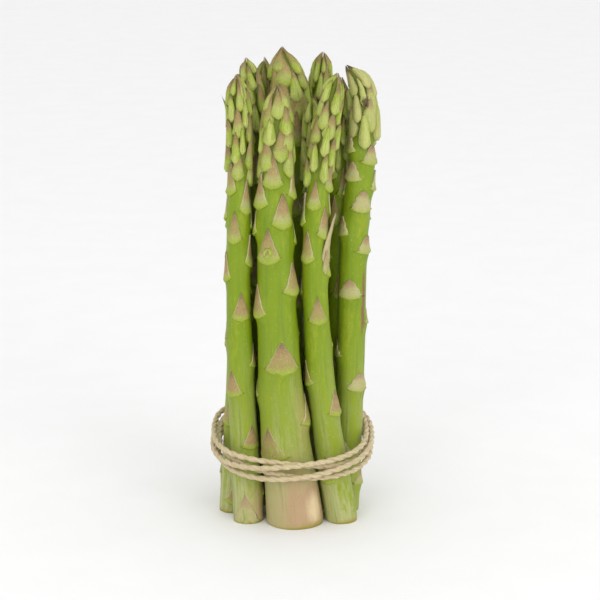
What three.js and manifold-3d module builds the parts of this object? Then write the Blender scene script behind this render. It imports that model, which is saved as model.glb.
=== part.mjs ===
// A bundle of green asparagus tied with jute twine, standing on its cut ends.
// Millimetres, +Z up. The origin is on the ground, under the middle of the bundle.
// The front faces -Y. An azimuth is 0 at the front and grows towards +X.

import * as THREE from 'three';
import { mergeVertices } from 'three/addons/utils/BufferGeometryUtils.js';
import Module from 'manifold-3d';

const wasm = await Module();
wasm.setup();

const DEGREE = Math.PI / 180;
const UP = new THREE.Vector3(0, 0, 1);

// How every spear grows: each scale sits one golden turn round from the last
const GOLDEN_TURN = 137.5 * DEGREE;
const STEM_SIDES = 8;
const STEM_RINGS = 5;
const HEAD_RINGS = 3;
const NECK_GAP = 5.6;
const BUD_GAP = 4;
const WIDE_GIRTH = 6;
const ROOT_DEPTH = 1.3;
const CLEARANCE = 0.3;

// The twine: a two-ply jute cord, four turns and two short tails
// acrossX, acrossY, squareness: the rounded square that it follows round the stems
// drop: how much lower it hangs at the front; layer, rise: half the depth and height of its lay
// twist: how often the lay goes round in a turn; knot: half its length, its radius and place
const TWINE = {
  radius: 1.2,
  sides: 6,
  turns: 4,
  stepsPerTurn: 21,
  middle: new THREE.Vector3(0.6, -0.2, 30.5),
  acrossX: 31.1,
  acrossY: 30.4,
  squareness: 2.5,
  drop: 5,
  layer: 1.32,
  rise: 3.6,
  twist: 0.75,
  endShare: 0.036,
  knotHalf: 4.8,
  knotRadius: 1.3,
  knotMiddle: new THREE.Vector3(0.6, 32.2, 35.5),
};

// The spears, from the front of the bundle to its back.
// path: the middle of the stem from the cut end to the tip
// girth: radius at the cut end, half-way up the stem and at the neck
// neck: where the head begins; first, turn: height and azimuth of the lowest scale
// gap: spacing of the low scales; spiral: which way they climb; loose: how far the buds stand off
const spears = [
  {
    name: 'spear_front',
    path: [[1.5, -17, 0], [-4.3, -16.5, 60], [-6.4, -15.5, 120], [-5.6, -15, 155], [-5.4, -15, 179]],
    girth: [11.6, 8.4, 6.5],
    neck: 136,
    first: 15.5,
    turn: 180,
    gap: 12,
    spiral: 1,
    loose: 0.1,
  },
  {
    name: 'spear_left',
    path: [[-17.2, -14.5, 0], [-20, -14, 58], [-20.9, -13.5, 110], [-19.8, -13, 155], [-21.2, -13, 182]],
    girth: [6.3, 5.2, 4.4],
    neck: 134,
    first: 8.5,
    turn: 129,
    gap: 11,
    spiral: 1,
    loose: 0.7,
  },
  {
    name: 'spear_right',
    path: [[20.4, -15, 0], [12.4, -14.5, 55], [9.5, -14, 105], [11.9, -13.5, 150], [18.2, -13, 182.5]],
    girth: [6.6, 5.4, 4.6],
    neck: 134,
    first: 17,
    turn: -25,
    gap: 13.5,
    spiral: -1,
    loose: 0.8,
  },
  {
    name: 'spear_far_right',
    path: [[22.5, -2.3, 0], [24.2, -2.5, 60], [25.2, -3, 112], [28.3, -3, 150], [27.5, -3, 174], [21.5, -3, 184]],
    girth: [5.4, 5.6, 5.1],
    neck: 146,
    first: 11,
    turn: 87,
    gap: 13.5,
    spiral: -1,
    loose: 0.2,
  },
  {
    name: 'spear_far_left',
    path: [[-24.4, -3.5, 0], [-21.4, -2, 55], [-20.9, -1, 110], [-20.2, 0, 145], [-19.5, 0.5, 164]],
    girth: [5.1, 4.9, 4.2],
    neck: 126,
    first: 3,
    turn: 10,
    gap: 11,
    spiral: -1,
    loose: 0.4,
  },
  {
    name: 'spear_inner',
    path: [[11.8, 0, 0], [9.5, -1.5, 60], [9, -2.5, 115], [8.6, -2.5, 150], [8.2, -1.5, 171]],
    girth: [4.6, 4.2, 3.7],
    neck: 128,
    first: 9,
    turn: 60,
    gap: 11,
    spiral: -1,
    loose: 0.8,
  },
  {
    name: 'spear_tallest',
    path: [[-2.5, 4.5, 0], [-2.2, 5, 60], [-1.6, 7, 120], [-0.4, 8, 165], [-3.6, 8, 190]],
    girth: [9.1, 8.2, 7.5],
    neck: 148,
    first: 13,
    turn: -60,
    gap: 12,
    spiral: 1,
    loose: 0.1,
  },
  {
    name: 'spear_far_right_back',
    path: [[20.5, 9.5, 0], [19.6, 7.5, 60], [19.2, 4.8, 115], [19.6, 3.6, 155], [20, 3, 178.5]],
    girth: [5.2, 4.7, 4],
    neck: 136,
    first: 10,
    turn: 120,
    gap: 11.5,
    spiral: 1,
    loose: 0.8,
  },
  {
    name: 'spear_left_back',
    path: [[-18.8, 7.3, 0], [-17.3, 8, 60], [-15.2, 8.5, 115], [-13.7, 8.5, 158], [-18, 8, 185.5]],
    girth: [5.9, 5.4, 4.7],
    neck: 140,
    first: 12,
    turn: -110,
    gap: 12,
    spiral: -1,
    loose: 1,
  },
  {
    name: 'spear_right_back',
    path: [[10, 15.3, 0], [9.6, 15, 60], [9.2, 15, 115], [9.8, 14.5, 150], [13, 14, 187]],
    girth: [5.3, 4.8, 4],
    neck: 138,
    first: 9,
    turn: 30,
    gap: 12,
    spiral: 1,
    loose: 0.9,
  },
  {
    name: 'spear_back_left',
    path: [[-11.5, 18.7, 0], [-10.8, 18.3, 60], [-10, 18, 115], [-9.6, 17.5, 155], [-10.8, 17, 184.5]],
    girth: [5.7, 5.3, 4.6],
    neck: 142,
    first: 14,
    turn: 170,
    gap: 12,
    spiral: 1,
    loose: 0.3,
  },
  {
    name: 'spear_back',
    path: [[0.5, 22.2, 0], [0.4, 22, 60], [0.2, 21.5, 115], [0.4, 21, 150], [1, 20.5, 178]],
    girth: [5.2, 4.8, 4.1],
    neck: 134,
    first: 7,
    turn: 190,
    gap: 11.5,
    spiral: -1,
    loose: 0.5,
  },
];

for (const spear of spears) {
  const points = spear.path.map((place) => new THREE.Vector3(...place));
  spear.axis = new THREE.CatmullRomCurve3(points, false, 'catmullrom', 0.5);
  spear.length = spear.axis.getLength();
}

// A repeatable draw between 0 and 1 for each scale of each spear
function draw(spear, index) {
  const value = Math.sin(spear.length * 12.9898 + index * 78.233) * 437.585;
  return value - Math.floor(value);
}

// The stem's radius at a height along it: a curve through three girths, then the rounded head
function girthAt(spear, along) {
  const [low, middle, neck] = spear.girth;
  if (along <= spear.neck) {
    const t = Math.max(along, 0) / spear.neck;
    return low * (1 - t) * (1 - 2 * t) + middle * 4 * t * (1 - t) + neck * t * (2 * t - 1);
  }
  const up = Math.min((along - spear.neck) / (spear.length - spear.neck), 1);
  return neck * (1 - up ** 2.4) ** 0.75 * (1 - 0.12 * spear.loose * Math.sin(Math.PI * up));
}

// A point at a radius and azimuth round the bent axis of a spear
function placeOn(spear, along, azimuth, radius) {
  const share = THREE.MathUtils.clamp(along / spear.length, 0, 1);
  const lean = new THREE.Quaternion().setFromUnitVectors(UP, spear.axis.getTangentAt(share));
  const out = new THREE.Vector3(Math.sin(azimuth), -Math.cos(azimuth), 0).applyQuaternion(lean);
  return spear.axis.getPointAt(share).addScaledVector(out, radius);
}

// How far a point on one spear is from the nearest of the others
function roomBeside(spear, point) {
  let room = Infinity;
  for (const other of spears) {
    const top = other.path.at(-1)[2];
    if (other === spear || point.z > top) {
      continue;
    }
    const along = (point.z / top) * other.length;
    const middle = other.axis.getPointAt(THREE.MathUtils.clamp(along / other.length, 0, 1));
    const apart = Math.hypot(point.x - middle.x, point.y - middle.y);
    room = Math.min(room, apart - girthAt(other, along));
  }
  return room;
}

// Shared vertices only, which is what a closed solid needs
function bare(geometry) {
  geometry.deleteAttribute('normal');
  geometry.deleteAttribute('uv');
  return mergeVertices(geometry);
}

function solidOf(geometry) {
  const vertProperties = new Float32Array(geometry.attributes.position.array);
  const triVerts = new Uint32Array(geometry.index.array);
  return new wasm.Manifold(new wasm.Mesh({ numProp: 3, vertProperties, triVerts }));
}

// One body: what fusing seals off inside is filled and loose scraps go
function fuse(solids) {
  const joined = solids.reduce((sum, solid) => sum.add(solid));
  const bodies = joined.decompose();
  const body = bodies.reduce((best, next) => (next.volume() > best.volume() ? next : best));
  const { vertProperties, triVerts } = body.getMesh();
  const geometry = new THREE.BufferGeometry();
  geometry.setAttribute('position', new THREE.BufferAttribute(vertProperties, 3));
  geometry.setIndex(new THREE.BufferAttribute(triVerts, 1));
  geometry.computeVertexNormals();
  return geometry;
}

// The stem: a turned profile, slid on to the bent axis, with a level cut end
function stemOf(spear) {
  const profile = [new THREE.Vector2(0, 0)];
  for (let ring = 0; ring < STEM_RINGS; ring += 1) {
    const along = (spear.neck * ring) / STEM_RINGS;
    profile.push(new THREE.Vector2(girthAt(spear, along), along));
  }
  for (let ring = 0; ring < HEAD_RINGS; ring += 1) {
    const along = spear.neck + (spear.length - spear.neck) * (ring / HEAD_RINGS) ** 0.8;
    profile.push(new THREE.Vector2(girthAt(spear, along), along));
  }
  profile.push(new THREE.Vector2(0, spear.length));
  const stem = bare(new THREE.LatheGeometry(profile, STEM_SIDES).rotateX(Math.PI / 2));
  const position = stem.attributes.position;
  const at = new THREE.Vector3();
  for (let index = 0; index < position.count; index += 1) {
    at.fromBufferAttribute(position, index);
    const placed = placeOn(spear, at.z, Math.atan2(at.x, -at.y), Math.hypot(at.x, at.y));
    if (at.z < 0.001) {
      placed.z = 0;
    }
    position.setXYZ(index, placed.x, placed.y, placed.z);
  }
  return stem;
}

// Where the scales and buds of a spear sit, from the ground up
function scalesOf(spear) {
  const scales = [];
  const headLength = spear.length - spear.neck;
  let along = spear.first;
  for (let index = 0; along < spear.length - 7; index += 1) {
    const jitter = draw(spear, index) - 0.5;
    const azimuth = spear.turn * DEGREE + spear.spiral * index * GOLDEN_TURN + jitter * 0.25;
    const up = Math.max(0, (along - spear.neck) / headLength);
    const climb = THREE.MathUtils.smoothstep(along / spear.neck, 0.4, 0.95);
    const girth = girthAt(spear, along);
    const isBud = along > spear.neck - 4;
    scales.push({
      along,
      azimuth,
      isBud,
      length: isBud ? 12 - 5.5 * up : 6 + 0.75 * girth + 3 * climb + 2 * jitter,
      spread: (isBud ? 26 + 16 * up : 50 - 10 * climb) * DEGREE,
      rise: isBud ? 1.1 + 0.3 * spear.loose : 0.75,
      tip: isBud ? 0.5 + 1.2 * spear.loose : 0.25,
    });
    along += isBud ? BUD_GAP : spear.gap + (NECK_GAP - spear.gap) * climb;
  }
  return scales;
}

// The rows of a scale, by the height of a ball's rings: [height on the ball, share of its length,
// share of its spread, share of its rise]
const SCALE_ROWS = { tip: [1, 0.08], upper: [0.55, 0.6], lower: [0.06, 1], foot: [0.03, 0] };
const BUD_ROWS = { tip: [1, 0.05], upper: [0.6, 0.72], lower: [0.18, 1], foot: [0, 0] };

// A scale: a coarse ball drawn out over the stem, broad at its foot and pointed at its tip
function scaleOf(spear, scale) {
  const rows = scale.isBud ? BUD_ROWS : SCALE_ROWS;
  const sides = !scale.isBud && spear.girth[2] > WIDE_GIRTH ? 6 : 4;
  const ball = bare(new THREE.SphereGeometry(1, sides, 3));
  const position = ball.attributes.position;
  for (let index = 0; index < position.count; index += 1) {
    const height = position.getY(index);
    const isPole = Math.abs(height) > 0.9;
    const ring = isPole ? 1 : Math.hypot(position.getX(index), position.getZ(index));
    const across = position.getX(index) / ring;
    const out = position.getZ(index) / ring;
    const name = isPole ? (height > 0 ? 'tip' : 'foot') : height > 0 ? 'upper' : 'lower';
    const [up, spread] = rows[name];
    const along = scale.along + scale.length * (up + (isPole ? 0 : 0.08 * across * across));
    const azimuth = scale.azimuth + (isPole ? 0 : across * spread * scale.spread);
    let rise = scale.rise * (name === 'upper' ? 0.9 : 1) * (0.3 + 0.7 * out);
    if (name === 'tip') {
      rise = scale.tip;
    } else if (name === 'foot' || out < -0.01) {
      rise = -ROOT_DEPTH;
    }
    const girth = girthAt(spear, along);
    const room = (roomBeside(spear, placeOn(spear, along, azimuth, girth)) - CLEARANCE) / 2;
    const radius = Math.max(girth + Math.min(rise, room), 0.4);
    const placed = placeOn(spear, along, azimuth, radius);
    position.setXYZ(index, placed.x, placed.y, placed.z);
  }
  return ball;
}

// A whole spear, grown as one piece
function spearOf(spear) {
  const scales = scalesOf(spear).map((scale) => solidOf(scaleOf(spear, scale)));
  const green = new THREE.MeshStandardMaterial({ color: 0x9cb84f, roughness: 0.5, metalness: 0 });
  const mesh = new THREE.Mesh(fuse([solidOf(stemOf(spear)), ...scales]), green);
  mesh.name = spear.name;
  return mesh;
}

// Where the twine is after a number of turns from the back, in a lay of four strands
function coilAt(turns) {
  const azimuth = Math.PI + turns * 2 * Math.PI;
  const lay = 2 * Math.PI * TWINE.twist * turns + 0.3 * Math.sin(2 * azimuth);
  const side = Math.sin(azimuth);
  const front = Math.cos(azimuth);
  const power = TWINE.squareness;
  const round = (Math.abs(side) ** power + Math.abs(front) ** power) ** (-1 / power);
  const layer = (TWINE.layer * Math.tanh(2 * Math.cos(lay))) / Math.tanh(2);
  return new THREE.Vector3(
    side * (TWINE.acrossX * round + layer),
    -front * (TWINE.acrossY * round + layer),
    TWINE.rise * Math.sin(lay) - TWINE.drop * front,
  ).add(TWINE.middle);
}

// The two ends of the twine wind round each other in the knot. hand is 1 for the end that comes
// from the left and -1 for the other, and share goes from the coil to where the tail starts.
function knotAt(hand, share) {
  const x = hand * TWINE.knotHalf * (2 * share - 1);
  const angle = (1.5 * Math.PI * x) / TWINE.knotHalf + (hand > 0 ? 0.5 : -0.5) * Math.PI;
  const across = TWINE.knotRadius * Math.cos(angle);
  const up = TWINE.knotRadius * Math.sin(angle);
  return new THREE.Vector3(x, across, up).add(TWINE.knotMiddle);
}

// Two tails, from the knot to their cut ends
const TAILS = [
  { hand: 1, points: [[7.4, 33.5, 34.3], [9.6, 33.6, 30], [9.2, 33.5, 24.5], [10.6, 33.3, 19.5]] },
  { hand: -1, points: [[-6.2, 33.5, 33.8], [-7.6, 33.6, 29], [-10, 33.5, 25], [-10.4, 33.3, 21]] },
];

function cordAlong(points, steps, radius) {
  const route = new THREE.CatmullRomCurve3(points, false, 'centripetal');
  const section = new THREE.Shape();
  for (let side = 0; side < TWINE.sides; side += 1) {
    const angle = (2 * Math.PI * side) / TWINE.sides;
    const corner = [radius * Math.cos(angle), radius * Math.sin(angle)];
    if (side === 0) {
      section.moveTo(...corner);
    } else {
      section.lineTo(...corner);
    }
  }
  const options = { steps, extrudePath: route, bevelEnabled: false };
  return solidOf(bare(new THREE.ExtrudeGeometry(section, options)));
}

// The twine, whole: four turns, then each end through the knot to its tail
function twine() {
  const last = TWINE.turns - TWINE.endShare;
  const count = TWINE.turns * TWINE.stepsPerTurn;
  const coil = [];
  for (let step = 0; step <= count; step += 1) {
    coil.push(coilAt(TWINE.endShare + ((last - TWINE.endShare) * step) / count));
  }
  const ends = TAILS.map(({ hand, points }) => {
    const near = hand > 0 ? coil.slice(0, 2).reverse() : coil.slice(-2);
    const knot = [];
    for (let share = 0; share <= 1; share += 1 / 12) {
      knot.push(knotAt(hand, share));
    }
    const tail = points.map((place) => new THREE.Vector3(...place));
    return cordAlong([...near, ...knot, ...tail], 22, TWINE.radius * 1.04);
  });
  const straw = new THREE.MeshStandardMaterial({ color: 0xbfa67e, roughness: 0.95, metalness: 0 });
  const mesh = new THREE.Mesh(fuse([cordAlong(coil, count, TWINE.radius), ...ends]), straw);
  mesh.name = 'twine';
  return mesh;
}

const bundle = new THREE.Group();
bundle.name = 'asparagus_bundle';
for (const spear of spears) {
  bundle.add(spearOf(spear));
}
bundle.add(twine());

export default bundle;
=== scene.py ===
import math

import bmesh
import bpy
import numpy as np
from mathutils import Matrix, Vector, noise


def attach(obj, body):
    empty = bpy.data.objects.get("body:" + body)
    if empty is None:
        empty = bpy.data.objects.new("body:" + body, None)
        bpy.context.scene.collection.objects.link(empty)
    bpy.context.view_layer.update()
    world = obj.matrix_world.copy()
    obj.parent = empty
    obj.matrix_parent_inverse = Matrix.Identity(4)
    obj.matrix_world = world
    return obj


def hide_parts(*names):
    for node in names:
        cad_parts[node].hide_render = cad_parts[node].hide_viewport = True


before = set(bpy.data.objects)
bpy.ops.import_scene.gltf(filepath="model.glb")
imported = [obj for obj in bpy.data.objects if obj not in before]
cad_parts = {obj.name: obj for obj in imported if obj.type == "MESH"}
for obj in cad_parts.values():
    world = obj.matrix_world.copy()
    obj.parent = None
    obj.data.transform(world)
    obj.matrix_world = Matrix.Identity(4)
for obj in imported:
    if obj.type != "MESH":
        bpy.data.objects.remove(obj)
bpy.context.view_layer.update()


# The camera looks at the standing bundle from a little above, with a long lens, so that
# the cut ends are seen more from above than the tips are. The small shift frames it.
CAMERA_DISTANCE = 0.87
CAMERA_ELEVATION = math.radians(14)
LOOKED_AT_HEIGHT = 0.095

lens = bpy.data.cameras.new("camera")
lens.sensor_width = 36
lens.lens = 129.5
lens.shift_x = 0.015
lens.shift_y = -0.028
camera = bpy.data.objects.new("camera", lens)
camera.location = (
    0,
    -CAMERA_DISTANCE * math.cos(CAMERA_ELEVATION),
    LOOKED_AT_HEIGHT + CAMERA_DISTANCE * math.sin(CAMERA_ELEVATION),
)
camera.rotation_euler = (math.radians(90) - CAMERA_ELEVATION, 0, 0)
bpy.context.collection.objects.link(camera)
bpy.context.scene.camera = camera


# Each spear is one shoot, leaning as it was gathered. Its path is the middle of its stem,
# its girth the radius at the cut end, half-way and at the neck of the head, in millimetres.
# Its scales climb by a golden turn each, closer together towards the head.
MM = 0.001
GOLDEN_TURN = math.radians(137.5)
PATH_STEPS = 60
STEM_BELOW_TIP = 2
STEM_ROUNDING = 7
NECK_STEP = 3.6
HEAD_STEP = 1.3
TIE_HEIGHT = 30
TIE_REACH = 9
SPEAR_CLEARANCE = 0.3


def smooth_walk(places, steps):
    """Close points on a smooth curve through the places, and how far along it each is."""
    places = [np.array(place, float) for place in places]
    ends = [2 * places[0] - places[1], *places, 2 * places[-1] - places[-2]]
    walked = []
    for before, start, end, after in zip(ends, ends[1:], ends[2:], ends[3:]):
        leave = (end - before) / 2
        arrive = (after - start) / 2
        for t in np.linspace(0, 1, steps, endpoint=False):
            walked.append(
                start * (2 * t**3 - 3 * t**2 + 1)
                + leave * (t**3 - 2 * t**2 + t)
                + end * (3 * t**2 - 2 * t**3)
                + arrive * (t**3 - t**2)
            )
    walked = np.array([*walked, places[-1]])
    steps_long = np.linalg.norm(np.diff(walked, axis=0), axis=1)
    return walked, np.concatenate([[0], np.cumsum(steps_long)])


def turned_from(azimuth, centre):
    return np.remainder(azimuth - centre + math.pi, math.tau) - math.pi


def shield(up, out, narrowing):
    """A low scale at a height on it: its share of the spread, and of the rise."""
    foot = np.sqrt(1 - (1 - np.minimum(up / 0.07, 1)) ** 2)
    flare = 1 + 0.18 * np.exp(-(((up - 0.08) / 0.08) ** 2))
    collar = 0.4 + 0.6 * np.exp(-(((up - 0.1) / 0.13) ** 2))
    outer = foot * collar * np.maximum(out, 0) ** 0.5
    return foot * flare * (1 - up) ** narrowing, np.where(out < 0, 0.6 * out, outer)


def teardrop(up, out, narrowing):
    """The same for a bud: full above its round foot, and drawn out to a long point."""
    foot = np.sqrt(1 - (1 - np.minimum(up / 0.14, 1)) ** 2)
    full = foot * (1 - np.maximum(up - 0.14, 0) / 0.86) ** narrowing
    return full, full**0.8 * np.where(out < 0, 0.6 * out, np.maximum(out, 0) ** 0.75)


def knob(up, out, narrowing):
    """The same for a round wart."""
    full = (4 * up * (1 - up)) ** narrowing
    return full, full * np.where(out < 0, 0.6 * out, np.maximum(out, 0) ** 0.6)


def lone_scale(form, along, azimuth, length, spread, rise, tip, narrowing, budding, tone, dry=0):
    """A scale or bud with a place and shape of its own. Its angles are in degrees."""
    return {
        "form": form, "along": along, "azimuth": math.radians(azimuth), "length": length,
        "spread": math.radians(spread), "rise": rise, "tip": tip, "narrowing": narrowing,
        "budding": budding, "tone": tone, "dry": dry,
    }


def hair_point(along, azimuth, tip):
    """A bud high in a loose head that is drawn out to a hair and stands away from it."""
    return lone_scale(teardrop, along, azimuth, length=13, spread=17, rise=1.3, tip=tip,
                      narrowing=1.4, budding=1, tone=0.6)


class Spear:
    """One spear: loose is how far its head has opened, and torn how ragged its scales are."""

    def __init__(self, node, path, girth, neck, first, turn, gap, spiral, loose,
                 blush=0.1, tone=0.5, torn=0, marks=(), patches=(), extras=()):
        self.node = node
        self.girth = girth
        self.neck = neck
        self.first = first
        self.turn = math.radians(turn)
        self.gap = gap
        self.spiral = spiral
        self.loose = loose
        self.blush = blush
        self.tone = tone
        self.torn = torn
        self.marks = marks
        self.patches = patches
        self.top = path[-1][2]
        self.points, self.walk = smooth_walk(path, PATH_STEPS)
        self.length = float(self.walk[-1])
        self.stem_end = self.length - STEM_BELOW_TIP
        slopes = np.gradient(self.points, self.walk, axis=0)
        self.slopes = slopes / np.linalg.norm(slopes, axis=1, keepdims=True)
        self.scales = [*self.grow_scales(), *extras]

    def along_it(self, along, table):
        return np.stack([np.interp(along, self.walk, table[:, k]) for k in range(3)], axis=-1)

    def radius(self, along):
        low, middle, neck = self.girth
        t = np.clip(along, 0, self.neck) / self.neck
        stem = low * (1 - t) * (1 - 2 * t) + middle * 4 * t * (1 - t) + neck * t * (2 * t - 1)
        up = np.clip((along - self.neck) / (self.length - self.neck), 0, 1)
        return stem * (1 - up**4.2) ** 0.65

    def depth(self, along):
        """0 on the open stem, and 1 well inside the head."""
        return np.clip((along - self.neck + 4) / 12, 0, 1)

    def core(self, along):
        """The stem itself, which is slimmer than the head around it, and ends below its tip."""
        ending = np.clip((self.stem_end - along) / STEM_ROUNDING, 0, 1) ** 0.5
        return self.radius(along) * (1 - (0.12 + 0.14 * self.loose) * self.depth(along)) * ending

    def swelling(self, along, azimuth):
        """How much fuller the stem is under each low scale's foot, and less where it is tied."""
        fuller = np.zeros_like(along)
        for scale in self.scales:
            if scale["form"] is not shield:
                continue
            apart = along - scale["along"] - 0.14 * scale["length"]
            reach = np.where(apart < 0, 3.4, 0.5 * scale["length"])
            turned = np.abs(turned_from(azimuth, scale["azimuth"])) / (1.05 * scale["spread"])
            fuller = np.maximum(fuller, np.exp(-((apart / reach) ** 2) - turned**3))
        tied = 1 - 0.6 * np.exp(-(((along - TIE_HEIGHT) / TIE_REACH) ** 2))
        return (0.65 + 0.35 * (self.girth[2] - 4.4)) * fuller * tied

    def place(self, along, azimuth, radius):
        """Points at a distance along the spear, a turn round it and a radius from its middle."""
        along = np.clip(along, 0, self.length)
        slope = self.along_it(along, self.slopes)
        side = np.sin(azimuth)
        front = -np.cos(azimuth)
        swing = (slope[..., 0] * front - slope[..., 1] * side) / (1 + slope[..., 2])
        out = np.stack([
            slope[..., 2] * side - slope[..., 1] * swing,
            slope[..., 2] * front + slope[..., 0] * swing,
            -slope[..., 0] * side - slope[..., 1] * front,
        ], axis=-1)
        return self.along_it(along, self.points) + out * radius[..., None]

    def draw(self, index):
        """A number from 0 to 1 that looks random, and is the same on every run."""
        value = math.sin(self.length * 12.9898 + index * 78.233) * 437.585
        return value - math.floor(value)

    def grow_scales(self):
        """Low scales up to the neck, then slim buds and broader ones mixed, up to the tip."""
        along = self.first
        index = 0
        while along < self.length - 9 + 3 * self.loose:
            jitter = self.draw(index) - 0.5
            up = max(0, (along - self.neck) / (self.length - self.neck))
            share = min(max((along / self.neck - 0.4) / 0.55, 0), 1)
            climb = share * share * (3 - 2 * share)
            astray = jitter * (0.25 if up == 0 else 0.5)
            scale = {
                "along": along,
                "azimuth": self.turn + self.spiral * index * GOLDEN_TURN + astray,
                "tone": 0.7 * self.draw(index + 100) + 0.3 * self.tone,
                "dry": self.torn * (0.1 + 0.4 * self.draw(index + 150)),
            }
            stray = (0.8 + 1.6 * self.draw(index + 50)) * self.loose
            plump = 0.75 + 0.5 * self.draw(index + 300)
            if along < self.neck + 3:
                whole = 1 - 0.35 * self.torn
                length = (7 + 0.75 * float(self.radius(along)) + 3 * climb + 2 * jitter) * whole
                scale.update(form=shield, length=length, budding=0.6 * max(climb, self.torn),
                             spread=math.radians((50 - 12 * climb) * (1 + 0.25 * self.torn)),
                             rise=0.5 + 0.4 * climb, tip=0.12 + 0.3 * climb,
                             narrowing=(0.72 + 0.3 * self.draw(index + 250)) * (1 - 0.3 * self.torn))
            elif self.draw(index + 200) < 0.35 + 0.35 * self.loose:
                length = 11 + 0.5 * self.girth[2] - 3 * up + 3 * jitter
                scale.update(form=teardrop, length=length, budding=1, spread=math.radians(26) * plump,
                             rise=(1.5 + 0.3 * self.loose) * plump, tip=0.1 + stray,
                             narrowing=0.6 - 0.25 * self.torn)
            else:
                length = 12.5 + 0.5 * self.girth[2] - 4 * up + 3 * jitter
                scale.update(form=teardrop, length=length, budding=0.72, spread=math.radians(42) * plump,
                             rise=0.8 + 0.3 * self.loose, tip=0.1 + 0.7 * stray,
                             narrowing=0.8 - 0.35 * self.torn)
            yield scale
            along += HEAD_STEP if up > 0 else self.gap + (NECK_STEP - self.gap) * climb
            index += 1


# The front spear has a round wart with a small bud in it, the right one a dry torn scale
# that stands off its stem, and the left one the last of a scale that the cut went through.
WART = [
    lone_scale(knob, 110.9, -20, length=4.2, spread=16, rise=1.3, tip=0.3, narrowing=0.4,
               budding=1, tone=0.9),
    lone_scale(teardrop, 111.5, -18, length=3.2, spread=9, rise=2.6, tip=0.6, narrowing=0.7,
               budding=0.9, tone=0),
]
DRY_SCALE = [
    lone_scale(teardrop, 105, 64, length=24, spread=33, rise=0.35, tip=3.6, narrowing=0.7,
               budding=0, tone=0.8, dry=1),
    lone_scale(teardrop, 107, 92, length=21, spread=20, rise=0.8, tip=3.0, narrowing=0.8,
               budding=0.6, tone=0.6, dry=0.5),
    lone_scale(teardrop, 103, 50, length=11, spread=16, rise=0.6, tip=1.6, narrowing=0.8,
               budding=0, tone=0.3, dry=0.4),
]
CUT_SCALE = [
    lone_scale(shield, -2.5, -8, length=15, spread=56, rise=0.25, tip=0.1, narrowing=0.9,
               budding=-0.5, tone=0.6, dry=0.5),
]

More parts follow.
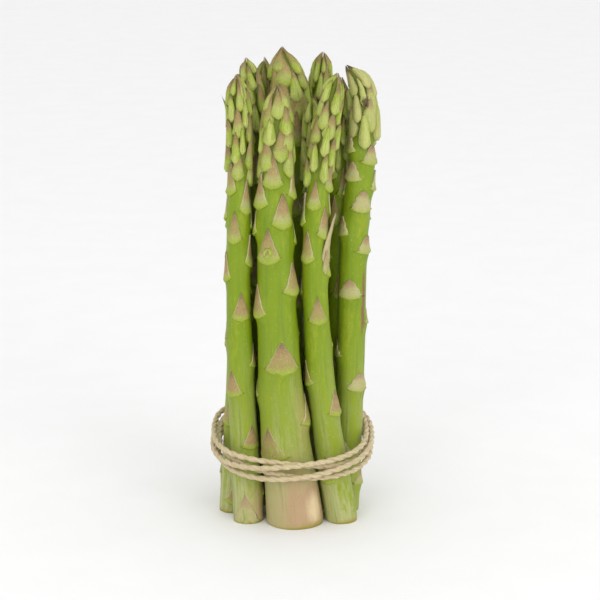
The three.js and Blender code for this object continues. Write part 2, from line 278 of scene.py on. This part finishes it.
spears = [
    Spear("spear_front",
          [(1.5, -17, 0), (-4.3, -16.5, 60), (-6.4, -15.5, 120), (-5.6, -15, 155), (-5.4, -15, 179)],
          girth=(11.6, 8.4, 6.5), neck=136, first=15.5, turn=180, gap=12, spiral=1, loose=0.1,
          blush=1.0, tone=0.35, extras=WART,
          patches=[(5, 12, 22, 9, 0.55), (7, 50, 10, 5.5, 1.1), (46, 55, 20, 5, 0.3)]),
    Spear("spear_left",
          [(-17.2, -14.5, 0), (-20, -14, 58), (-20.9, -13.5, 110), (-19.8, -13, 155), (-21.2, -13, 182)],
          girth=(6.3, 5.2, 4.4), neck=134, first=8.5, turn=129, gap=11, spiral=1, loose=0.7,
          blush=0.6, tone=0.55, marks=[(53, -24, 1.6, 0.5, 0.5)], patches=[(3, 45, 12, 4, 0.4)],
          extras=[*CUT_SCALE, hair_point(161, -95, 3.8), hair_point(165, 40, 2)]),
    Spear("spear_right",
          [(20.4, -15, 0), (12.4, -14.5, 55), (9.5, -14, 105), (11.9, -13.5, 150), (18.2, -13, 182.5)],
          girth=(6.6, 5.4, 4.6), neck=134, first=17, turn=-25, gap=13.5, spiral=-1, loose=0.8,
          blush=0.1, tone=0.7, marks=[(36, -6, 5, 0.45, 0.8)],
          extras=[*DRY_SCALE, hair_point(169, 60, 2.6), hair_point(166, 120, 3.2)]),
    Spear("spear_far_right",
          [(22.5, -2.3, 0), (24.2, -2.5, 60), (25.2, -3, 112),
           (28.3, -3, 150), (27.5, -3, 174), (21.5, -3, 184)],
          girth=(5.4, 5.6, 5.1), neck=146, first=11, turn=87, gap=13.5, spiral=-1, loose=0.2,
          tone=2.1, torn=1, marks=[(88, 50, 18, 1.5, 1), (170, 12, 2.6, 1.5, 0.9)]),
    Spear("spear_far_left",
          [(-24.4, -3.5, 0), (-21.4, -2, 55), (-20.9, -1, 110), (-20.2, 0, 145), (-19.5, 0.5, 164)],
          girth=(5.1, 4.9, 4.2), neck=126, first=3, turn=10, gap=11, spiral=-1, loose=0.4,
          tone=0.8),
    Spear("spear_inner",
          [(11.8, 0, 0), (9.5, -1.5, 60), (9, -2.5, 115), (8.6, -2.5, 150), (8.2, -1.5, 171)],
          girth=(4.6, 4.2, 3.7), neck=128, first=9, turn=60, gap=11, spiral=-1, loose=0.8,
          tone=0.6),
    Spear("spear_tallest",
          [(-2.5, 4.5, 0), (-2.2, 5, 60), (-1.6, 7, 120), (-0.4, 8, 165), (-3.6, 8, 190)],
          girth=(9.1, 8.2, 7.5), neck=148, first=13, turn=-60, gap=12, spiral=1, loose=0.15,
          blush=0.7, tone=-0.1),
    Spear("spear_far_right_back",
          [(20.5, 9.5, 0), (19.6, 7.5, 60), (19.2, 4.8, 115), (19.6, 3.6, 155), (20, 3, 178.5)],
          girth=(5.2, 4.7, 4), neck=136, first=10, turn=120, gap=11.5, spiral=1, loose=0.8,
          tone=0.6),
    Spear("spear_left_back",
          [(-18.8, 7.3, 0), (-17.3, 8, 60), (-15.2, 8.5, 115), (-13.7, 8.5, 158), (-18, 8, 185.5)],
          girth=(5.9, 5.4, 4.7), neck=140, first=12, turn=-110, gap=12, spiral=-1, loose=1,
          blush=0.3, tone=0.6, extras=[hair_point(167, -100, 4.5), hair_point(160, -85, 3.4)]),
    Spear("spear_right_back",
          [(10, 15.3, 0), (9.6, 15, 60), (9.2, 15, 115), (9.8, 14.5, 150), (13, 14, 187)],
          girth=(5.3, 4.8, 4), neck=138, first=9, turn=30, gap=12, spiral=1, loose=0.9,
          tone=0.65, extras=[hair_point(172.5, -75, 3.6), hair_point(168, 50, 1.8)]),
    Spear("spear_back_left",
          [(-11.5, 18.7, 0), (-10.8, 18.3, 60), (-10, 18, 115), (-9.6, 17.5, 155), (-10.8, 17, 184.5)],
          girth=(5.7, 5.3, 4.6), neck=142, first=14, turn=170, gap=12, spiral=1, loose=0.3,
          blush=0.4, tone=0.2),
    Spear("spear_back",
          [(0.5, 22.2, 0), (0.4, 22, 60), (0.2, 21.5, 115), (0.4, 21, 150), (1, 20.5, 178)],
          girth=(5.2, 4.8, 4.1), neck=134, first=7, turn=190, gap=11.5, spiral=-1, loose=0.5,
          blush=0.3, tone=0.6),
]


def room_beside(spear, points):
    """How far points on one spear are from the nearest of the others."""
    room = np.full(len(points), np.inf)
    for other in spears:
        if other is spear:
            continue
        heights = other.points[:, 2]
        across = points[:, 0] - np.interp(points[:, 2], heights, other.points[:, 0])
        behind = points[:, 1] - np.interp(points[:, 2], heights, other.points[:, 1])
        beside = np.hypot(across, behind) - other.radius(np.interp(points[:, 2], heights, other.walk))
        room = np.where(points[:, 2] > other.top, room, np.minimum(room, beside))
    return room


def kept_clear(spear, along, azimuth, surface, rise):
    """The rise above a surface, or less of it where a neighbour is close."""
    room = room_beside(spear, spear.place(along, azimuth, surface))
    return np.minimum(rise, (room - SPEAR_CLEARANCE) / 2)


class Wire:
    """A socket of a material's nodes, so that its maths reads as arithmetic."""

    def __init__(self, tree, socket=None):
        self.tree = tree
        self.socket = socket

    def node(self, kind, sockets=None, output=0, stops=None, **settings):
        made = self.tree.nodes.new(kind)
        for name, value in settings.items():
            setattr(made, name, value)
        if stops:
            for spot, colour in stops[2:]:
                made.color_ramp.elements.new(spot)
            for element, (spot, colour) in zip(made.color_ramp.elements, stops):
                element.position = spot
                element.color = (*colour, 1)
        for key, value in (sockets or {}).items():
            if isinstance(value, Wire):
                self.tree.links.new(value.socket, made.inputs[key])
            else:
                made.inputs[key].default_value = value
        return Wire(self.tree, made.outputs[output])

    def maths(self, operation, first, second=0.0):
        return self.node("ShaderNodeMath", {0: first, 1: second}, operation=operation)

    def __add__(self, other):
        return self.maths("ADD", self, other)

    def __radd__(self, other):
        return self.maths("ADD", other, self)

    def __sub__(self, other):
        return self.maths("SUBTRACT", self, other)

    def __rsub__(self, other):
        return self.maths("SUBTRACT", other, self)

    def __mul__(self, other):
        return self.maths("MULTIPLY", self, other)

    def __rmul__(self, other):
        return self.maths("MULTIPLY", other, self)

    def size(self):
        return self.maths("ABSOLUTE", self)

    def step(self, low, high):
        """0 below low and 1 above high, with a soft step between them."""
        sockets = {"Value": self, "From Min": low, "From Max": high}
        return self.node("ShaderNodeMapRange", sockets, interpolation_type="SMOOTHSTEP")

    def blend(self, none, full):
        """A colour that goes from none to full as this value goes from 0 to 1."""
        sockets = {0: self, 6: none, 7: full}
        return self.node("ShaderNodeMix", sockets, output=2, data_type="RGBA")

    def stretched(self, factors):
        return self.node("ShaderNodeVectorMath", {0: self, 1: factors}, operation="MULTIPLY")

    def cloud(self, scale, detail=2.0, roughness=0.5):
        sockets = {"Vector": self, "Scale": scale, "Detail": detail, "Roughness": roughness}
        return self.node("ShaderNodeTexNoise", sockets)

    def part(self, index):
        return self.node("ShaderNodeSeparateXYZ", {0: self}, output=index)

    def attribute(self, name):
        return self.node("ShaderNodeAttribute", output=1, attribute_name=name)

    def bump(self, strength, distance):
        sockets = {"Height": self, "Strength": strength, "Distance": distance}
        return self.node("ShaderNodeBump", sockets)


def new_material(name, roughness, specular, **finish):
    """A new material: its shader, and a wire to start its maths from."""
    made = bpy.data.materials.new(name)
    made.use_nodes = True
    shader = made.node_tree.nodes["Principled BSDF"]
    shader.inputs["Roughness"].default_value = roughness
    shader.inputs["Specular IOR Level"].default_value = specular
    for key, value in finish.items():
        shader.inputs[key.replace("_", " ")].default_value = value
    return made, shader, Wire(made.node_tree)


def feed(shader, name, wire):
    wire.tree.links.new(wire.socket, shader.inputs[name])


# The skin of a stem is waxy and finely grooved along its length. It is bright green
# above and greyer low down. The foot of a thick spear is pink and cream, and where a
# spear was rubbed or nicked there is a brown streak.
# Inside the head, where the buds crowd round it, its green is darkened to a painted shade.
BRIGHT_GREEN = (0.19, 0.28, 0.006, 1)
DEEP_GREEN = (0.12, 0.205, 0.004, 1)
YELLOW_GREEN = (0.25, 0.32, 0.012, 1)
PALE_GREEN = (0.28, 0.335, 0.055, 1)
GREY_GREEN = (0.42, 0.42, 0.18, 1)
FOOT_BEIGE = (0.43, 0.37, 0.17, 1)
FOOT_PINK = (0.43, 0.285, 0.16, 1)
FOOT_CREAM = (0.70, 0.56, 0.33, 1)
FOOT_OLIVE = (0.36, 0.30, 0.06, 1)
HEAD_CORE_PAINTED_SHADE = (0.11, 0.145, 0.003, 1)
NICK_BROWN = (0.22, 0.13, 0.05, 1)
RIDGE_PALE = (0.46, 0.47, 0.17, 1)
SPECK_PALE = (0.66, 0.66, 0.38, 1)
SPECK_DARK = (0.16, 0.15, 0.03, 1)


def skin():
    made, shader, wire = new_material("asparagus_skin", roughness=0.45, specular=0.3)
    straight = wire.attribute("straight")
    grown = wire.attribute("grown")
    marks_and_shade = wire.attribute("marks_and_shade")
    blush = grown.part(0)
    height = grown.part(1)
    tone = grown.part(2)
    grooves = straight.stretched((1, 1, 0.03)).cloud(0.75, 3.0, 0.6)
    fine_grooves = straight.stretched((1, 1, 0.02)).cloud(2.2, 3.0, 0.6)
    bands = straight.stretched((1, 1, 0.12)).cloud(0.22, 3.0, 0.55)
    mottle = straight.stretched((1, 1, 0.4)).cloud(0.7, 5.0, 0.7)
    wrinkles = straight.stretched((0.5, 0.5, 1)).cloud(2.4, 3.0, 0.6)
    speckle = straight.cloud(1.6, 2.0, 0.5)
    rising = height + (bands - 0.5) * 0.5 + (mottle - 0.5) * 0.2
    green = rising.step(0.14, 0.46).blend(PALE_GREEN, BRIGHT_GREEN)
    green = (rising + (grooves - 0.5) * 0.2 + tone * 0.1).step(0.02, 0.3).blend(GREY_GREEN, green)
    green = ((bands + mottle) * 0.5).step(0.5, 0.62).blend(green, YELLOW_GREEN)
    green = (((1 - bands + grooves) * 0.5).step(0.5, 0.68) * 0.8).blend(green, DEEP_GREEN)
    footing = blush - height * 4.6
    beige = (footing + (bands - 0.5) * 1.6 + (mottle - 0.5) * 0.5).step(0.1, 0.9)
    green = (beige * blush * 0.9).blend(green, FOOT_BEIGE)
    patch = marks_and_shade.part(1) * (1 + (bands - 0.5) * 0.7 + (mottle - 0.5) * 0.5)
    green = patch.step(0.05, 0.6).blend(green, FOOT_PINK)
    green = patch.step(0.45, 1.15).blend(green, FOOT_CREAM)
    green = (grooves.step(0.55, 0.78) * 0.16).blend(green, RIDGE_PALE)
    green = ((1 - fine_grooves).step(0.52, 0.75) * 0.22).blend(green, DEEP_GREEN)
    # Inside the head the stem's core between the buds is darkened: painted shade.
    green = marks_and_shade.part(2).blend(green, HEAD_CORE_PAINTED_SHADE)
    rim = (height * 185 + (mottle - 0.5) * 3).step(0.0, 2.0)
    green = rim.blend(FOOT_OLIVE, green)
    green = (speckle.step(0.68, 0.74) * 0.35).blend(green, SPECK_PALE)
    green = ((1 - speckle).step(0.69, 0.74) * 0.4).blend(green, SPECK_DARK)
    nicked = (marks_and_shade.part(0) + (mottle - 0.5) * 1.1).step(0.45, 0.75)
    green = nicked.blend(green, NICK_BROWN)
    feed(shader, "Base Color", green)
    feed(shader, "Roughness", 0.36 + mottle * 0.2)
    relief = grooves * 0.8 + fine_grooves * 0.35 + wrinkles * 0.25 - nicked * 0.4
    feed(shader, "Normal", relief.bump(0.5, 0.3 * MM))
    return made


def cut_flesh():
    """The cut end: pale wet flesh, dotted with the ends of its fibres."""
    made, shader, wire = new_material("asparagus_cut_flesh", roughness=0.5, specular=0.4)
    straight = wire.attribute("straight")
    dots = wire.node("ShaderNodeTexVoronoi", {"Vector": straight, "Scale": 1.1})
    tint = straight.cloud(0.5, 3.0)
    flesh = wire.node("ShaderNodeValToRGB", {0: dots + (tint - 0.5) * 0.3},
                      stops=[(0.1, (0.36, 0.34, 0.13)), (0.32, (0.58, 0.58, 0.31))])
    feed(shader, "Base Color", flesh)
    feed(shader, "Normal", dots.bump(0.4, 0.2 * MM))
    return made


def roll_up(bm, sheet, points):
    """Lays a flat sheet's vertices on points that close into a tube, and caps its ends."""
    for vert, point in zip(sheet, points):
        vert.co = point
    bmesh.ops.remove_doubles(bm, verts=sheet, dist=1e-7)
    rims = [edge for edge in bm.edges if edge.is_boundary]
    return bmesh.ops.holes_fill(bm, edges=rims, sides=0)["faces"]


def finished(name, bm, materials, node):
    """A smooth mesh at the origin, which rides on the bundle in place of its CAD node."""
    bmesh.ops.recalc_face_normals(bm, faces=bm.faces)
    mesh = bpy.data.meshes.new(name)
    bm.to_mesh(mesh)
    bm.free()
    mesh.shade_smooth()
    for each in materials:
        mesh.materials.append(each)
    piece = bpy.data.objects.new(name, mesh)
    bpy.context.collection.objects.link(piece)
    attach(piece, "root")
    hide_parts(node)
    return piece


def painted(spots, along, azimuth, surface):
    """How strongly soft oval spots on a stem cover each of some points on it."""
    cover = np.zeros_like(along)
    for height, side, half_length, half_width, strength in spots:
        beside = turned_from(azimuth, math.radians(side)) * surface
        spot = ((along - height) / half_length) ** 2 + (beside / half_width) ** 2
        cover = np.maximum(cover, strength * np.exp(-spot))
    return cover


SKIN = skin()
CUT_FLESH = cut_flesh()
STEM_SIDES = 40
STEM_RINGS = 170


def stem(spear):
    bm = bmesh.new()
    straight = bm.verts.layers.float_vector.new("straight")
    grown = bm.verts.layers.float_vector.new("grown")
    marks_and_shade = bm.verts.layers.float_vector.new("marks_and_shade")
    sheet = bmesh.ops.create_grid(bm, x_segments=STEM_SIDES, y_segments=STEM_RINGS, size=0.5)["verts"]
    flat = np.array([vert.co for vert in sheet]) + 0.5
    azimuth = flat[:, 0] * math.tau
    along = flat[:, 1] * spear.stem_end
    surface = spear.core(along)
    around = np.stack([np.sin(azimuth), -np.cos(azimuth), along * 0.03 + spear.tone * 9], axis=-1)
    places = [Vector(place) for place in around]
    uneven = [noise.noise(place * 1.3) * 0.035 + noise.noise(place * 4) * 0.012 for place in places]
    surface = surface * (1 + np.array(uneven) - 0.02 * np.exp(-along / 0.6))
    surface = surface + kept_clear(spear, along, azimuth, surface, spear.swelling(along, azimuth))
    surface = np.where(flat[:, 1] > 0.9999, 0, np.maximum(surface, 0))
    nicks = painted(spear.marks, along, azimuth, surface)
    pale = painted(spear.patches, along, azimuth, surface)
    # Its third share says how deep in the head a point is, for the painted shade there.
    painting = np.stack([nicks, pale, spear.depth(along - 8)], axis=-1)
    points = spear.place(along, azimuth, surface)
    points[:, 2] = np.where(along < 0.001, 0, np.maximum(points[:, 2], 0.02))
    for vert, turn, far, out, paint in zip(sheet, azimuth, along, surface, painting):
        vert[straight] = (out * math.sin(turn), -out * math.cos(turn), far)
        vert[grown] = (spear.blush, far / spear.length, spear.tone)
        vert[marks_and_shade] = paint
    for face in roll_up(bm, sheet, points * MM):
        face.material_index = 1
    return finished(spear.node + "_stem", bm, [SKIN, CUT_FLESH], spear.node)


for spear in spears:
    stem(spear)


# The scales are small leaves pressed to the stem. Low down each is a three-cornered shield
# with a swollen green foot, a purple-brown blade and a thin papery edge. In the head they
# crowd into long pointed buds that overlap like tiles, green at the foot and brown above.
# Young buds carry a painted highlight along their middle, mixed with paler patches of their own.
FOOT_GREEN = (0.31, 0.39, 0.035, 1)
SHEATH_PALE = (0.37, 0.38, 0.13, 1)
BUD_GREEN = (0.30, 0.41, 0.026, 1)
BUD_PALE_AND_HIGHLIGHT = (0.49, 0.54, 0.15, 1)
BLADE_MAUVE = (0.34, 0.225, 0.095, 1)
BLADE_OLIVE = (0.31, 0.26, 0.07, 1)
BLADE_TIP = (0.18, 0.105, 0.05, 1)
# Painted shade in the folds of the young buds.
FOLD_SHADE_OLIVE = (0.20, 0.21, 0.03, 1)
PAPER_EDGE = (0.66, 0.60, 0.40, 1)
DRY_TAN = (0.52, 0.42, 0.24, 1)
ROT_BROWN = (0.11, 0.075, 0.03, 1)
FLECK_PALE = (0.58, 0.52, 0.27, 1)
FLECK_DARK = (0.17, 0.13, 0.04, 1)


def scale_skin():
    made, shader, wire = new_material("asparagus_scale", roughness=0.5, specular=0.3)
    leaf = wire.attribute("leaf")
    budding = wire.attribute("budding")
    straight = wire.attribute("straight")
    across = leaf.part(0).size()
    up = leaf.part(1)
    tone = leaf.part(2)
    bud = budding.part(0)
    rotten = budding.part(1)
    dry = budding.part(2)
    young = bud.step(0.6, 0.85)
    veins = leaf.stretched((5, 0.9, 7)).cloud(1.5, 4.0, 0.65)
    patches = straight.stretched((1, 1, 0.4)).cloud(0.42, 4.0, 0.65)
    speckle = straight.cloud(1.7, 4.0, 0.7)
    body = young.blend(SHEATH_PALE, BUD_GREEN)
    green = (up + (patches - 0.5) * 0.3).step(0.1, 0.34).blend(FOOT_GREEN, body)
    # Young buds are paler along their middle and towards the foot: a painted highlight, mixed with paler
    # patches of their own.
    pale = (1 - across) * 0.3 + patches + tone * 0.3 - up * 0.3
    green = (pale.step(0.5, 0.85) * young * 0.75).blend(green, BUD_PALE_AND_HIGHLIGHT)
    start = 0.13 + bud * bud * (0.22 + tone * 0.6) + dry * 0.5
    past_start = up + (veins - 0.5) * 0.35 + (patches - 0.5) * (0.15 + bud * 0.3) - start
    browned = past_start.step(-0.05, 0.17)
    mauve = (up + (tone - 0.5) * 0.6 + (patches - 0.5) * 0.6).step(0.15, 0.6)
    brown = mauve.blend(BLADE_OLIVE, BLADE_MAUVE)
    brown = ((up + (veins - 0.5) * 0.3).step(0.55, 1.0) * 0.85).blend(brown, BLADE_TIP)
    colour = (browned * 0.92).blend(green, brown)
    # Darker olive along the low lines of the vein bump on young buds: painted shade in their folds.
    fold_shade = (1 - veins).step(0.5, 0.62) * young * 0.65
    colour = (fold_shade * up.step(0.05, 0.3)).blend(colour, FOLD_SHADE_OLIVE)
    colour = (speckle.step(0.52, 0.68) * 0.42).blend(colour, FLECK_PALE)
    colour = ((1 - speckle).step(0.54, 0.7) * 0.42).blend(colour, FLECK_DARK)
    edge = (across + (veins - 0.5) * 0.1).step(0.84, 0.97) * up.step(0.1, 0.3)
    colour = (edge * (0.6 - young * 0.4)).blend(colour, PAPER_EDGE)
    colour = (dry * (veins * 0.6 + 0.5)).blend(colour, DRY_TAN)
    colour = (rotten + (speckle - 0.5) * 1.2).step(0.35, 0.65).blend(colour, ROT_BROWN)
    feed(shader, "Base Color", colour)
    feed(shader, "Roughness", 0.42 + veins * 0.2)
    feed(shader, "Normal", (veins * 0.9 + speckle * 0.4).bump(0.7, 0.35 * MM))
    return made


SCALE_SKIN = scale_skin()
SHIELD_FACES = (12, 10)
BUD_FACES = (8, 8)
# The middle of a foot hangs below its two sides by this share of the length.
HANG = {shield: 0.13, teardrop: 0.12, knob: 0}


def scales(spear):
    bm = bmesh.new()
    leaf = bm.verts.layers.float_vector.new("leaf")
    budding = bm.verts.layers.float_vector.new("budding")
    straight = bm.verts.layers.float_vector.new("straight")
    for scale in spear.scales:
        sides, rings = SHIELD_FACES if scale["form"] is shield else BUD_FACES
        ball = bmesh.ops.create_uvsphere(bm, u_segments=sides, v_segments=rings, radius=1)["verts"]
        round_points = np.array([vert.co for vert in ball])
        ring = np.hypot(round_points[:, 0], round_points[:, 1])
        across = np.where(ring > 1e-4, round_points[:, 0] / np.maximum(ring, 1e-4), 0)
        out = np.where(ring > 1e-4, -round_points[:, 1] / np.maximum(ring, 1e-4), 0)
        up = np.clip((round_points[:, 2] + 1) / 2, 0, 1)
        spread, rise = scale["form"](up, out, scale["narrowing"])
        length = min(scale["length"], spear.length - scale["along"] - 0.2)
        along = scale["along"] + length * (up + HANG[scale["form"]] * across**2 * (1 - up) ** 2)
        ragged = 1 + (0.05 + 0.08 * spear.torn) * np.sin(19 * up + 40 * scale["tone"] + 2 * across)
        azimuth = scale["azimuth"] + across * spread * ragged * scale["spread"]
        surface = np.maximum(spear.core(along), 0.2) + spear.swelling(along, azimuth)
        deeper = spear.radius(along) - spear.core(along)
        closing = np.clip((spear.length - along) / (10 - 6 * spear.loose), 0, 1)
        thickness = scale["rise"] * (0.4 + 0.6 * closing) + deeper
        rise = rise * thickness + (scale["tip"] * up**2 + deeper * 0.6 * up) * closing
        rotten = painted(spear.marks, along, azimuth, surface) + spear.torn * (1 - closing) ** 2
        radius = np.maximum(surface + kept_clear(spear, along, azimuth, surface, rise), 0.15)
        points = spear.place(along, azimuth, radius) * MM
        points[:, 2] = np.maximum(points[:, 2], 0)
        unrolled = np.stack([radius * np.sin(azimuth), -radius * np.cos(azimuth), along], axis=-1)
        for vert, point, side, height, spoilt, flat in zip(ball, points, across, up, rotten, unrolled):
            vert.co = point
            vert[leaf] = (side, height, scale["tone"])
            vert[budding] = (scale["budding"], spoilt, scale["dry"])
            vert[straight] = flat
    return finished(spear.node + "_scales", bm, [SCALE_SKIN], spear.node)


for spear in spears:
    scales(spear)


# The twine is two plies of jute twisted together. It goes round the stems four times in a
# loose lay of four strands, and its two ends wind round each other at the back and hang
# down as short tails.
TWINE_MIDDLE = np.array((0.6, -0.2, 30.5))
TWINE_ACROSS = (31.1, 30.4)
TWINE_SQUARENESS = 2.5
TWINE_DROP = 5
TWINE_LAYER = 1.32
TWINE_RISE = 3.6
TWINE_TWIST = 0.75
TWINE_TURNS = 4
TWINE_END_SHARE = 0.036
TURN_STEPS = 21
KNOT_STEPS = 13
WALK_STEPS = 12
RING_SPACING = 0.45
KNOT_HALF = 4.8
KNOT_RADIUS = 1.3
KNOT_MIDDLE = np.array((0.6, 32.2, 35.5))
RIGHT_TAIL = [(7.4, 33.5, 34.3), (9.6, 33.6, 30), (9.2, 33.5, 24.5), (10.6, 33.3, 19.5)]
LEFT_TAIL = [(-6.2, 33.5, 33.8), (-7.6, 33.6, 29), (-10, 33.5, 25), (-10.4, 33.3, 21)]


def coil_at(turns):
    azimuth = math.pi + turns * math.tau
    lay = math.tau * TWINE_TWIST * turns + 0.3 * math.sin(2 * azimuth)
    side = math.sin(azimuth)
    front = math.cos(azimuth)
    out = (abs(side) ** TWINE_SQUARENESS + abs(front) ** TWINE_SQUARENESS) ** (-1 / TWINE_SQUARENESS)
    layer = TWINE_LAYER * math.tanh(2 * math.cos(lay)) / math.tanh(2)
    return TWINE_MIDDLE + (
        side * (TWINE_ACROSS[0] * out + layer),
        -front * (TWINE_ACROSS[1] * out + layer),
        TWINE_RISE * math.sin(lay) - TWINE_DROP * front,
    )


def knot_at(hand, share):
    across = hand * KNOT_HALF * (2 * share - 1)
    angle = 1.5 * math.pi * across / KNOT_HALF + (0.5 if hand > 0 else -0.5) * math.pi
    return KNOT_MIDDLE + (across, KNOT_RADIUS * math.cos(angle), KNOT_RADIUS * math.sin(angle))


class Twine:
    """The middle of the twine from end to end, with directions square to it."""

    def __init__(self, step):
        first = TWINE_END_SHARE
        last = TWINE_TURNS - TWINE_END_SHARE
        shares = np.linspace(0, 1, KNOT_STEPS)
        coil = [coil_at(turns) for turns in np.linspace(first, last, TURN_STEPS * TWINE_TURNS + 1)]
        start = [knot_at(1, share) for share in shares] + RIGHT_TAIL
        end = [knot_at(-1, share) for share in shares] + LEFT_TAIL
        walked, distance = smooth_walk(start[::-1] + coil + end, WALK_STEPS)
        self.length = float(distance[-1])
        self.count = int(self.length / step)
        spots = np.linspace(0, self.length, self.count + 1)
        self.points = np.stack([np.interp(spots, distance, walked[:, k]) for k in range(3)], axis=-1)
        ahead = np.gradient(self.points, axis=0)
        self.ahead = ahead / np.linalg.norm(ahead, axis=1, keepdims=True)
        side = np.array((0, 0, 1.0))
        sides = []
        for way in self.ahead:
            side = side - way * side.dot(way)
            side = side / np.linalg.norm(side)
            sides.append(side)
        self.side = np.array(sides)
        self.up = np.cross(self.ahead, self.side)


twine = Twine(RING_SPACING)
PLY_SIDES = 12
PLY_PITCH = 9
PLY_OFFSET = 0.36
PLY_RADIUS = 0.84
PLY_UNEVENNESS = 0.07
STRAW_BROWN = (0.47, 0.36, 0.19, 1)
HAIR_CREAM = (0.84, 0.76, 0.56, 1)


def jute():
    made, shader, wire = new_material("jute", roughness=0.95, specular=0.1,
                                      Sheen_Weight=0.2, Sheen_Roughness=0.6)
    yarn = wire.attribute("yarn")
    fibres = yarn.stretched((1.0, 0.2, 1)).cloud(1.5, 5.0, 0.7)
    hairs = yarn.stretched((1.6, 0.14, 1.6)).cloud(2.4, 3.0, 0.6)
    patches = yarn.stretched((0.2, 0.08, 0.2)).cloud(1.5, 3.0, 0.6)
    straw = wire.node("ShaderNodeValToRGB", {0: fibres}, stops=[
        (0.28, (0.36, 0.27, 0.13)), (0.47, (0.60, 0.49, 0.28)), (0.68, (0.76, 0.65, 0.42))])
    straw = (patches.step(0.5, 0.75) * 0.4).blend(straw, STRAW_BROWN)
    straw = (hairs.step(0.58, 0.75) * 0.5).blend(straw, HAIR_CREAM)
    feed(shader, "Base Color", straw)
    feed(shader, "Normal", (fibres * 0.7 + hairs * 0.5).bump(0.9, 0.4 * MM))
    return made


JUTE = jute()


def ply(number):
    bm = bmesh.new()
    yarn = bm.verts.layers.float_vector.new("yarn")
    sheet = bmesh.ops.create_grid(bm, x_segments=PLY_SIDES, y_segments=twine.count, size=0.5)["verts"]
    flat = np.array([vert.co for vert in sheet]) + 0.5
    index = np.rint(flat[:, 1] * twine.count).astype(int)
    walked = flat[:, 1] * twine.length
    angle = flat[:, 0] * math.tau
    lay = math.tau * walked / PLY_PITCH + number * math.pi
    places = np.stack([walked * 0.3, np.sin(angle) + number * 5, np.cos(angle)], axis=-1)
    uneven = [noise.noise(place) + 0.5 * noise.noise(place * 3) for place in map(Vector, places)]
    radius = PLY_RADIUS * (1 + PLY_UNEVENNESS * np.array(uneven))
    beside = PLY_OFFSET * np.cos(lay) + radius * np.cos(angle + lay)
    above = PLY_OFFSET * np.sin(lay) + radius * np.sin(angle + lay)
    points = twine.points[index] + twine.side[index] * beside[:, None] + twine.up[index] * above[:, None]
    for vert, far, turn in zip(sheet, walked, angle):
        vert[yarn] = (2 * math.cos(turn), far + 1.5 * math.sin(turn), 2 * math.sin(turn) + number * 10)
    roll_up(bm, sheet, points * MM)
    return finished(f"twine_ply_{number + 1}", bm, [JUTE], "twine")


ply(0)
ply(1)


# Jute sheds fine stray fibres. They leave the twine upwards or downwards at a slant, and
# curl a little.
FIBRES = 320
FIBRE_RADIUS = 0.035


def stray_fibres():
    bm = bmesh.new()
    yarn = bm.verts.layers.float_vector.new("yarn")
    draws = np.random.default_rng(7)
    for number in range(FIBRES):
        index = int(draws.uniform(2, twine.count - 2))
        leaving = draws.normal(0, 0.35) + (math.pi if draws.uniform() > 0.5 else 0)
        out = twine.side[index] * math.cos(leaving) + twine.up[index] * math.sin(leaving)
        way = twine.ahead[index] * (1 if draws.uniform() > 0.5 else -1)
        cross = np.cross(way, out)
        reach = 1.5 + 4 * draws.uniform() ** 2
        curl = draws.uniform(-0.1, 0.1)
        lift = draws.uniform(0.04, 0.3)
        sheet = bmesh.ops.create_grid(bm, x_segments=3, y_segments=5, size=0.5)["verts"]
        flat = np.array([vert.co for vert in sheet]) + 0.5
        height = flat[:, 1, None]
        angle = flat[:, 0, None] * math.tau
        thin = FIBRE_RADIUS * (1.02 - height)
        points = twine.points[index] + out * (PLY_OFFSET + PLY_RADIUS * 0.5)
        points = points + way * reach * height + out * reach * lift * (height + height**2)
        points = points + cross * (curl * reach * height**2)
        points = points + out * thin * np.cos(angle) + cross * thin * np.sin(angle)
        for vert, far in zip(sheet, height[:, 0]):
            vert[yarn] = (number, far * reach, 0)
        roll_up(bm, sheet, points * MM)
    return finished("twine_stray_fibres", bm, [JUTE], "twine")


stray_fibres()


# The bundle stands on a plain pale floor in soft studio light: a bright white surround,
# and two broad lights in front of it, of which the one at the right is stronger.
def studio_floor():
    made, shader, wire = new_material("pale_floor", roughness=0.8, specular=0.2)
    grain = wire.node("ShaderNodeTexCoord", output=3).cloud(40, 2.0)
    pale = grain.blend((0.86, 0.86, 0.86, 1), (0.9, 0.9, 0.9, 1))
    feed(shader, "Base Color", pale)
    bm = bmesh.new()
    bmesh.ops.create_grid(bm, x_segments=8, y_segments=8, size=6)
    mesh = bpy.data.meshes.new("floor")
    bm.to_mesh(mesh)
    bm.free()
    mesh.materials.append(made)
    floor = bpy.data.objects.new("floor", mesh)
    bpy.context.collection.objects.link(floor)


def soft_light(name, place, width, power):
    lamp = bpy.data.lights.new(name, "AREA")
    lamp.shape = "SQUARE"
    lamp.size = width
    lamp.energy = power
    light = bpy.data.objects.new(name, lamp)
    light.location = place
    light.rotation_euler = (Vector((0, 0, 0.1)) - Vector(place)).to_track_quat("-Z", "Y").to_euler()
    bpy.context.collection.objects.link(light)


studio_floor()
soft_light("left_light", (-0.6, -1.4, 0.9), 0.8, 4.5)
soft_light("right_light", (0.9, -1.2, 0.6), 0.8, 6)
world = bpy.data.worlds.new("surround")
world.use_nodes = True
world.node_tree.nodes["Background"].inputs["Color"].default_value = (1, 1, 1, 1)
world.node_tree.nodes["Background"].inputs["Strength"].default_value = 1.0
bpy.context.scene.world = world
bpy.context.scene.view_settings.view_transform = "Standard"
